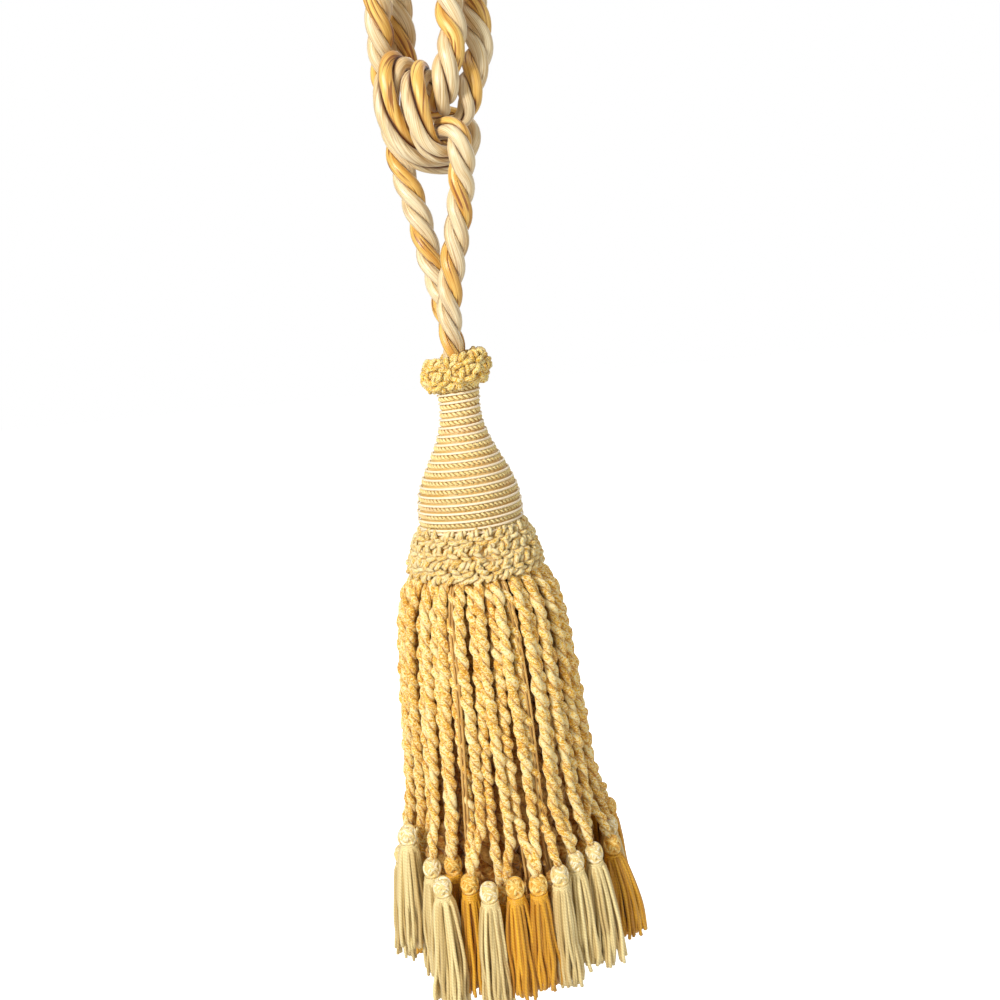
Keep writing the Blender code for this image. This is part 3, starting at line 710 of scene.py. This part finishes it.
def mouldCordFinish():
    look = Finish("mouldCord")
    around, along = look.yarnPlace()
    isLine = look.stored("ply")
    fibre = look.noise(around * 9.0 + along * 900.0, along * 120.0, 0.0, detail=2.0)
    broad = look.noise(along * 26.0, around * 0.5, 0.0, detail=2.0)
    gold = look.mix(fibre.between(0.28, 0.6), mould["goldDeep"], mould["gold"])
    gold = look.mix(broad.between(0.52, 0.72) * 0.7, gold, mould["blush"])
    gold = look.shade(look.valleyShade(around, 0.36, 0.70) * 0.6, gold, mould["valleyShadow"])
    colour = look.mix(isLine.between(0.4, 0.6), gold, mould["cream"])
    normal = look.bump(fibre, mould["fibreDepth"], 0.7)
    return look.close(colour, 0.42 + 0.12 * fibre, normal, sheen=0.2, sheenRoughness=0.4, specular=0.45)


def mouldWinding(stepsPerTurn, start, thick):
    # a helix down the mould that keeps its own radius in from the profile
    top, foot = mould["profile"][0][0], mould["profile"][-1][0]
    drop = (foot - top) / mould["turns"]
    share = np.arange(int(mould["turns"] * stepsPerTurn) + 1) / stepsPerTurn
    height = np.clip(top + drop * (share + start), foot + thick, top - thick * mould["topGap"])
    radius = radiusAt(mould["profile"], height) - thick
    angle = -math.tau * share + mould["firstAngle"]
    return np.stack([radius * np.sin(angle), -radius * np.cos(angle), height], axis=1)


def makeMould():
    yarn = YarnMesh()
    underCord = [(height, radius - mould["coreInset"]) for height, radius in mould["profile"]]
    addBody(yarn, [mould["collar"], *underCord, *mould["spigot"]], 36)
    cord = mouldWinding(150, mould["cordStart"], mould["cordThick"])
    turn = math.tau * lengthAlong(cord) / mould["cordLay"]
    addLaid(yarn, cord, framesFrom(cord, upward), mould["cordThick"], 2, turn, 6, 0.4)
    # a thin cream line stands a little proud between the turns
    line = mouldWinding(60, mould["lineStart"], mould["lineThick"])
    line[:, :2] *= 1.0 + mould["lineProud"] / np.linalg.norm(line[:, :2], axis=1)[:, None]
    yarn.addTube(line, framesFrom(line, upward), mould["lineThick"], mould["lineThick"], 7, 0.5, 1.0)
    place(yarn.build("woundMould", mouldCordFinish()), "mould_cord", "mould")


# Small tassels

# azimuth, distance from the axis, top of the head, colour, length of the threads, spread at the
# tips, outward lean
frontRow = (
    (-53.3, 0.0440, -0.3235, "cream", 0.041, 0.0040, 0.0015),
    (-62.9, 0.0370, -0.3410, "gold", 0.032, 0.0030, 0.0005),
    (-41.4, 0.0415, -0.3351, "cream", 0.039, 0.0034, 0.0005),
    (-30.8, 0.0465, -0.3384, "cream", 0.043, 0.0045, 0.0005),
    (-33.7, 0.0355, -0.3357, "gold", 0.037, 0.0030, 0.0000),
    (-19.8, 0.0412, -0.3389, "gold", 0.040, 0.0029, 0.0003),
    (-9.1, 0.0455, -0.3397, "cream", 0.042, 0.0039, 0.0005),
    (-2.4, 0.0360, -0.3456, "gold", 0.033, 0.0031, 0.0000),
    (3.0, 0.0440, -0.3395, "gold", 0.039, 0.0033, 0.0005),
    (13.9, 0.0445, -0.3397, "gold", 0.037, 0.0033, 0.0005),
    (24.5, 0.0455, -0.3380, "cream", 0.039, 0.0032, 0.0012),
    (36.1, 0.0430, -0.3367, "cream", 0.038, 0.0038, 0.0015),
    (47.9, 0.0445, -0.3370, "cream", 0.040, 0.0042, 0.0030),
    (58.0, 0.0365, -0.3400, "gold", 0.034, 0.0032, 0.0015),
    (66.4, 0.0450, -0.3409, "gold", 0.033, 0.0044, 0.0050),
)

backRow = {
    "count": 15,
    "first": 81.0,
    "last": 280.0,
    "radius": 0.0425,
    "radiusSway": 0.0015,
    "tuck": 0.0032,  # nearer the middle on the left
    "top": -0.3385,
    "topSway": 0.0025,
    "length": 0.039,
    "lengthSway": 0.002,
    "spread": 0.0037,
    "lean": 0.001,
    "colours": ("cream", "gold", "gold", "cream", "cream"),
}

tassel = {
    "ballRadius": 0.0029,
    "ballHeight": 0.0076,
    "ballCore": 0.86,
    "wraps": 7,
    "wrapThick": 0.00082,
    "wrapLeans": (-48.0, 52.0),
    "wrapGrowth": 0.07,
    "neckRadius": 0.0029,
    "bindingTurns": 3.4,
    "bindingLift": 0.0006,
    "bindingDrop": 0.0026,
    "bindingWide": 0.00042,
    "bindingDeep": 0.00046,
    "threads": 58,
    "threadThick": 0.00067,
    "threadRings": 13,
    "threadLift": 0.001,  # the threads start this far up inside the binding
    "gather": 0.0008,  # how far inside the binding the threads are gathered
    "flare": 0.42,  # less than 1 spreads the threads near the top
    "fullness": 0.0022,
    "unevenCut": 0.05,
    "innerShorter": 0.05,
    "thicknesses": (0.88, 1.08),
    "ripple": 0.0006,
    "sway": 0.0012,
    "curl": 0.0013,
}

tasselColours = {
    "cream": {"light": (0.97, 0.90, 0.66), "deep": (0.74, 0.60, 0.32),
              "ballLight": (0.99, 0.95, 0.82), "ballDeep": (0.92, 0.81, 0.52)},
    "gold": {"light": (0.95, 0.72, 0.17), "deep": (0.64, 0.39, 0.03),
             "ballLight": (0.98, 0.87, 0.54), "ballDeep": (0.89, 0.67, 0.24)},
}


def allTassels():
    rows = list(frontRow)
    span = backRow["last"] - backRow["first"]
    for k in range(backRow["count"]):
        azimuth = backRow["first"] + span * k / (backRow["count"] - 1)
        tuck = backRow["tuck"] * max(0.0, -math.sin(math.radians(azimuth)))
        # waves of unlike lengths scatter them a little
        radius = backRow["radius"] - tuck + backRow["radiusSway"] * math.sin(2.4 * k)
        top = backRow["top"] + backRow["topSway"] * math.sin(1.7 * k)
        length = backRow["length"] + backRow["lengthSway"] * math.cos(k)
        colour = backRow["colours"][k % len(backRow["colours"])]
        rows.append((azimuth, radius, top, colour, length, backRow["spread"], backRow["lean"]))
    return rows


def threadFinish(colour):
    look = Finish(colour + "Thread")
    around, along = look.yarnPlace()
    tone = look.stored("tone")
    isBall = look.stored("ply")
    tones = tasselColours[colour]
    strand = (around * math.tau * 2.0 + along * 5200.0).wave()
    broad = look.noise(along * 55.0, around * 0.6, tone * 40.0, detail=2.0)
    thread = look.mix((0.06 + tone * 0.7 + broad * 0.4).clamped(), tones["deep"], tones["light"])
    # painted shade in the grooves of each thread's twist
    thread = look.shade((1.0 - strand) * 0.25, thread, tones["deep"])
    fleck = look.noise(around * 6.0 + along * 600.0, along * 420.0, tone * 23.0, detail=2.0)
    fleck = fleck.between(0.47, 0.6)
    ball = look.mix(fleck, tones["ballDeep"], tones["ballLight"])
    base = look.mix(isBall.between(0.4, 0.6), thread, ball)
    normal = look.bump(strand * 0.5 + broad * 0.3 + fleck * isBall * 0.5, 0.00014, 0.8)
    return look.close(base, 0.38 + 0.15 * strand, normal, sheen=0.25, sheenRoughness=0.35, specular=0.5)


def addBall(yarn, middle, chance):
    # a core wrapped with cord in slanted turns, like a small knotted ball
    radius, half = tassel["ballRadius"], 0.5 * tassel["ballHeight"]
    coreRadius, coreHalf = tassel["ballCore"] * radius, tassel["ballCore"] * half
    turns = -math.tau * np.arange(12) / 12
    laps = np.linspace(0.08, math.pi - 0.08, 7)
    rings = np.array([[aroundAxis(angle, coreRadius * math.sin(lap), coreHalf * math.cos(lap))
                       for angle in turns] for lap in laps])
    yarn.addRings(rings + middle, np.linspace(0.0, 0.01, 7), 0.5, 1.0)
    thick = tassel["wrapThick"]
    size = np.array([radius, radius, half]) - thick * 0.7
    around = np.linspace(0.0, math.tau, 25)
    for k in range(tassel["wraps"]):
        lean = math.radians(tassel["wrapLeans"][k % 2]) + chance.uniform(-0.12, 0.12)
        facing = math.tau * (k + chance.uniform(-0.15, 0.15)) / tassel["wraps"]
        across = math.sin(lean)
        axis = np.array([across * math.cos(facing), across * math.sin(facing), math.cos(lean)])
        first = unit(np.cross(axis, (0.3, 0.2, 1.0)))
        second = np.cross(axis, first)
        line = np.cos(around)[:, None] * first + np.sin(around)[:, None] * second
        line = line * size * (1.0 + tassel["wrapGrowth"] * (k % 3)) + middle
        yarn.addTube(line, framesFrom(line, axis), thick, thick, 6, chance.random(), 1.0, capped=False)


def addBinding(yarn, foot, outward, across):
    turns = np.linspace(0.0, math.tau * tassel["bindingTurns"], 60)
    ring = np.cos(turns)[:, None] * across + np.sin(turns)[:, None] * outward
    line = foot + tassel["neckRadius"] * ring
    line[:, 2] += tassel["bindingLift"] - tassel["bindingDrop"] * turns / turns[-1]
    wide, deep = tassel["bindingWide"], tassel["bindingDeep"]
    yarn.addTube(line, framesFrom(line, upward), wide, deep, 6, 0.95)


def addThreads(yarn, foot, outward, across, length, spread, lean, chance):
    count = tassel["threads"]
    goldenAngle = 2.39996
    share = np.linspace(0.0, 1.0, tassel["threadRings"])
    flare = share**tassel["flare"]
    for k in range(count):
        # threads fill the tassel's round section as seeds fill a sunflower's head
        reach = math.sqrt((k + 0.5) / count)
        angle = goldenAngle * k + chance.uniform(-0.25, 0.25)
        toward = math.cos(angle) * across + math.sin(angle) * outward
        shorter = tassel["innerShorter"] * (reach < 0.6)
        threadLength = length * (1.0 - tassel["unevenCut"] * chance.random() - shorter)
        ripple = tassel["ripple"] * np.sin(share * 7.0 + chance.uniform(0, 6)) * share
        distance = (reach * ((tassel["neckRadius"] - tassel["gather"]) * (1.0 - flare)
                             + (spread + tassel["fullness"]) * flare) + ripple)
        leaning = lean * (1.7 * share - 0.8 * share**2)
        line = foot + np.outer(distance, toward) + np.outer(leaning, outward)
        line[:, 2] = foot[2] + tassel["threadLift"] - share * threadLength
        sway = chance.uniform(-1, 1) * tassel["sway"]
        line += np.outer(np.sin(share * 3.1) * sway, across)
        # the cut ends curl a little, each its own way
        curl = tassel["curl"] * share**3
        bend = chance.uniform(0.0, math.tau)
        line += np.outer(curl * (np.cos(bend) + 0.6 * np.sin(share * 11.0 + bend)), across)
        line += np.outer(curl * 0.7 * np.sin(bend), outward)
        thick = tassel["threadThick"] * chance.uniform(*tassel["thicknesses"])
        yarn.addTube(line, framesFrom(line, (0.0, 1.0, 0.0)), thick, thick, 6, chance.random())


def makeSmallTassels():
    finishes = {colour: threadFinish(colour) for colour in tasselColours}
    for number, row in enumerate(allTassels(), start=1):
        azimuth, radius, top, colour, length, spread, lean = row
        azimuth = math.radians(azimuth)
        chance = random.Random(100 + number)
        yarn = YarnMesh()
        outward = aroundAxis(azimuth, 1.0, 0.0)
        across = np.array([-outward[1], outward[0], 0.0])
        addBall(yarn, aroundAxis(azimuth, radius, top - 0.5 * tassel["ballHeight"]), chance)
        foot = aroundAxis(azimuth, radius, top - tassel["ballHeight"])
        addBinding(yarn, foot, outward, across)
        addThreads(yarn, foot, outward, across, length, spread, lean, chance)
        piece = yarn.build(f"smallTassel{number:02d}", finishes[colour])
        place(piece, "tassel_" + colour, f"mini_tassel_{number:02d}")


# Bullion skirt

skirt = {
    "top": -0.2334,
    "length": 0.112,
    "profile": ((-0.2334, 0.0225), (-0.2364, 0.0250), (-0.2410, 0.0276), (-0.2470, 0.0297),
                (-0.2600, 0.0315), (-0.2850, 0.0336), (-0.3100, 0.0355), (-0.3300, 0.0371),
                (-0.3470, 0.0386), (-0.3570, 0.0392)),
    "topGap": 0.0005,
    "ringStep": 0.0010,
    "sectors": 48,  # outer and inner strands by turns
    "drift": 0.002,  # how far the skirt hangs over to the right at its hem
    "sway": 1.3,
    "back": (0.0, 1.0, 0.02),  # a direction that no strand runs along
    "outerStrands": {"inset": 0.0, "thick": 0.00222, "stray": 0.8},
    "innerStrands": {"inset": 0.0022, "thick": 0.00228, "stray": 0.0},
    "hemRadius": 0.0385,
    "hemHeight": -0.345,
    "headGap": 0.0012,
    "headSink": 0.0008,
    "drawnInOver": 0.020,  # a strand bends towards its tassel over this height
    "lay": 0.0104,
    "layStray": (0.93, 1.07),
    "turnStray": 0.60,  # how far its plies run ahead or behind, in radians
    "turnBeats": (14.0, 24.0),
    "plyShape": (0.46, 0.54, 0.63),  # offset, depth and width, as shares of the strand's radius
    "wind": 0.14,  # how far a strand winds from side to side, of its radius
    "knobs": 0.05,
    "knobBeats": (1500.0, 1900.0),
    "colouring": {"gold": (0.98, 0.79, 0.28), "cream": (1.0, 0.93, 0.68), "blush": (1.0, 0.88, 0.71),
            "fleckSize": 0.0008, "patchSize": 0.012, "creamShare": 0.53, "valleyShade": 0.32},
    # the innermost strands fill the skirt; their radius is a share of their distance from the axis
    "innermostStrands": {"inset": 0.0085, "thick": 0.15, "end": -0.366, "lay": 0.0136,
                         "plyShape": (0.50, 0.52, 0.62)},
    # painted shade: the innermost strands have the bullion's colours darkened, for the shadow inside the
    # skirt
    "paintedShadeColouring": {"gold": (0.76, 0.55, 0.22), "cream": (0.88, 0.71, 0.40), "blush": (0.76, 0.55, 0.22),
                  "fleckSize": 0.0012, "patchSize": 0.012, "creamShare": 0.5, "valleyShade": 0.40},
}

hank = {
    # azimuth, end, how far in from the outer strands
    "places": ((-22.5, -0.338, 0.0002), (7.5, -0.350, 0.0014), (22.5, -0.343, 0.0006),
               (157.5, -0.343, 0.0006), (202.5, -0.338, 0.0006)),
    "yarns": 3,
    "spacing": 1.1,
    "step": 0.0007,  # every other yarn lies this far in
    "wide": 0.00045,
    "deep": 0.0005,
    "colour": (0.86, 0.69, 0.38),
    "deepColour": (0.66, 0.46, 0.18),
    "fibreDepth": 0.0002,
}


def strandLine(azimuth, inset, end, chance, reach=None):
    # hangs down the skirt's profile with a gentle sway, and draws in to a head at its end if given one
    count = int((skirt["top"] - end) / skirt["ringStep"])
    height = np.linspace(skirt["top"] - skirt["topGap"], end, count)
    down = (skirt["top"] - height) / skirt["length"]
    radius = radiusAt(skirt["profile"], height) - inset
    phase = chance.uniform(0, math.tau)
    sway = math.radians(skirt["sway"]) * np.sin(down * 5.5 + phase) * np.minimum(down * 4.0, 1.0)
    angle = math.radians(azimuth) + sway
    sideways = radius * np.sin(angle) + skirt["drift"] * down
    line = np.stack([sideways, -radius * np.cos(angle), height], axis=1)
    if reach is not None:
        share = np.clip((height - end - skirt["drawnInOver"]) / -skirt["drawnInOver"], 0.0, 1.0)
        share = share * share * (3.0 - 2.0 * share)
        line[:, :2] += share[:, None] * (reach[:2] - line[-1, :2])
    return line


def besideHead(azimuth, inset, heads):
    # where a strand ends: just outside the head of the small tassel nearest to its tip
    tip = aroundAxis(math.radians(azimuth), skirt["hemRadius"] - inset, skirt["hemHeight"])
    tip += np.array([skirt["drift"], 0.0, 0.0])
    head = min(heads, key=lambda spot: np.linalg.norm((spot - tip)[:2]))
    return head + unit((tip - head) * np.array([1.0, 1.0, 0.0])) * skirt["headGap"]


def addStrand(yarn, kind, azimuth, heads, chance):
    # a bullion strand of two plies, a little uneven in lay and thickness; gives back its tone
    reach = besideHead(azimuth, kind["inset"], heads)
    azimuth += chance.uniform(-kind["stray"], kind["stray"])
    line = strandLine(azimuth, kind["inset"], reach[2] - skirt["headSink"], chance, reach)
    along = lengthAlong(line)
    down = np.linspace(0.0, 1.0, len(line))
    tone = chance.random()
    turn = -math.tau * along / (skirt["lay"] * chance.uniform(*skirt["layStray"])) + tone * 6.0
    turn += skirt["turnStray"] * np.sin(down * chance.uniform(*skirt["turnBeats"]) + chance.uniform(0, 6))
    beat = along * chance.uniform(*skirt["knobBeats"]) + tone * 9.0
    knobs = 1.0 + skirt["knobs"] * np.sin(beat) + skirt["knobs"] * np.sin(beat * 0.37 + 2.0)
    # slimmer at its top and its end, where it is drawn in to the head
    swell = 0.90 + 0.12 * np.sin(math.pi * np.minimum(down * 1.3, 1.0))
    drawnIn = np.clip((1.0 - down) * 14.0 + 0.55, 0.0, 1.0)
    thick = kind["thick"] * swell * drawnIn * knobs
    side, other = framesFrom(line, skirt["back"])
    # one ply is tighter than the other, so the strand winds from side to side
    line = line + (skirt["wind"] * thick * np.cos(turn))[:, None] * side
    line = line + (skirt["wind"] * thick * np.sin(turn))[:, None] * other
    addLaid(yarn, line, (side, other), thick, 2, turn, 9, tone, skirt["plyShape"])
    return tone


def addInnermostStrand(yarn, kind, azimuth, tone, chance):
    line = strandLine(azimuth, kind["inset"], kind["end"], chance)[::3]
    turn = -math.tau * lengthAlong(line) / kind["lay"]
    thick = kind["thick"] * np.linalg.norm(line[:, :2], axis=1)
    addLaid(yarn, line, framesFrom(line, skirt["back"]), thick, 2, turn, 7, tone, kind["plyShape"])


def hankFinish():
    look = Finish("plainHankYarn")
    around, along = look.yarnPlace()
    tone = look.stored("tone")
    fibre = look.noise(around * 7.0 + along * 500.0, along * 60.0, tone * 9.0, detail=2.0)
    colour = look.mix(fibre.between(0.3, 0.65), hank["deepColour"], hank["colour"])
    normal = look.bump(fibre, hank["fibreDepth"], 0.6)
    return look.close(colour, 0.45 + 0.1 * fibre, normal, sheen=0.2, sheenRoughness=0.5, specular=0.4)


def makeSkirt():
    chance = random.Random(3)
    heads = [aroundAxis(math.radians(row[0]), row[1], row[2]) for row in allTassels()]
    outer, inner, innermost, plain = YarnMesh(), YarnMesh(), YarnMesh(), YarnMesh()
    for i in range(skirt["sectors"]):
        azimuth = i * (360.0 / skirt["sectors"])
        if i % 2 == 0:
            tone = addStrand(outer, skirt["outerStrands"], azimuth, heads, chance)
            addInnermostStrand(innermost, skirt["innermostStrands"], azimuth, tone, chance)
        else:
            addStrand(inner, skirt["innerStrands"], azimuth, heads, chance)
    for azimuth, end, inset in hank["places"]:
        for k in range(hank["yarns"]):
            # the yarns of a hank sway together
            line = strandLine(azimuth + (k - 1.0) * hank["spacing"], inset + hank["step"] * (k % 2), end,
                              random.Random(int(azimuth)))
            frames = framesFrom(line, skirt["back"])
            plain.addTube(line, frames, hank["wide"], hank["deep"], 6, chance.random())
    bullion = spunFinish("bullionYarn", skirt["colouring"])
    # the innermost strands' finish has painted shade
    paintedShadeFinish = spunFinish("paintedShadeBullionYarn", skirt["paintedShadeColouring"])
    pieces = (outer.build("outerStrands", bullion), inner.build("innerStrands", bullion),
              innermost.build("innermostStrands", paintedShadeFinish), plain.build("plainHanks", hankFinish()))
    for piece in pieces:
        place(piece, "bullion", "bullion_skirt")


# Floor and light

stage = {
    "floorHeight": -0.46,
    "floorReach": 4.0,
    "floorColour": (0.9, 0.9, 0.895),
    "floorGlow": 0.9,
    "skyStrength": 0.30,
    "skyColour": (1.0, 0.99, 0.975, 1.0),
    "wallColour": (1.0, 1.0, 1.0, 1.0),
    "aim": (0.0, 0.0, -0.2),
    # name, place, size, power, colour
    "lights": (("keyLight", (-0.62, -0.78, 0.30), 0.22, 12.0, (1.0, 0.985, 0.96)),
               ("fillLight", (0.9, -0.7, 0.0), 0.8, 3.0, (1.0, 1.0, 1.0)),
               ("topLight", (0.0, 0.1, 0.9), 0.6, 3.0, (1.0, 1.0, 1.0)),
               ("backLight", (0.3, 0.9, 0.2), 0.8, 2.5, (1.0, 1.0, 1.0))),
}


def makeFloor():
    # the floor's glow is only seen, so that it doesn't light the tassel from below
    finish = Finish("paleFloor")
    pale = finish.node("ShaderNodeBsdfDiffuse", {}, {"Color": linear(stage["floorColour"])})
    glow = finish.node("ShaderNodeEmission", {}, {"Strength": stage["floorGlow"]})
    both = finish.node("ShaderNodeAddShader", {}, {0: pale, 1: glow})
    seen = finish.node("ShaderNodeLightPath", {}, {}, "Is Camera Ray")
    shown = finish.node("ShaderNodeMixShader", {}, {0: seen, 1: pale, 2: both})
    finish.addOutput("ShaderNodeOutputMaterial", shown)
    mesh = bpy.data.meshes.new("floor")
    half, height = stage["floorReach"], stage["floorHeight"]
    corners = [(-half, -half, height), (half, -half, height), (half, half, height), (-half, half, height)]
    mesh.from_pydata(corners, [], [(0, 1, 2, 3)])
    mesh.materials.append(finish.owner)
    addObject("floor", mesh)


def makeRoom():
    # a soft pale light from all round, in front of a plain white wall
    room = Finish("paleRoom", "worlds")
    sky = {"Strength": stage["skyStrength"], "Color": stage["skyColour"]}
    glow = room.node("ShaderNodeBackground", {}, sky)
    plain = room.node("ShaderNodeBackground", {}, {"Strength": 1.0, "Color": stage["wallColour"]})
    seen = room.node("ShaderNodeLightPath", {}, {}, "Is Camera Ray")
    shown = room.node("ShaderNodeMixShader", {}, {0: seen, 1: glow, 2: plain})
    room.addOutput("ShaderNodeOutputWorld", shown)
    bpy.context.scene.world = room.owner


def makeSoftLight(name, spot, size, power, colour):
    data = bpy.data.lights.new(name, "AREA")
    data.shape = "SQUARE"
    data.size = size
    data.energy = power
    data.color = colour
    light = addObject(name, data)
    light.location = spot
    light.rotation_euler = (Vector(stage["aim"]) - Vector(spot)).to_track_quat("-Z", "Y").to_euler()


def makeStage():
    makeFloor()
    makeRoom()
    for light in stage["lights"]:
        makeSoftLight(*light)
    bpy.context.scene.view_settings.view_transform = "Standard"
    print("stage set")


makeCamera()
makeRope()
makeNeckRuff()
makeMould()
makeLowerRuff()
makeSkirt()
makeSmallTassels()
makeStage()
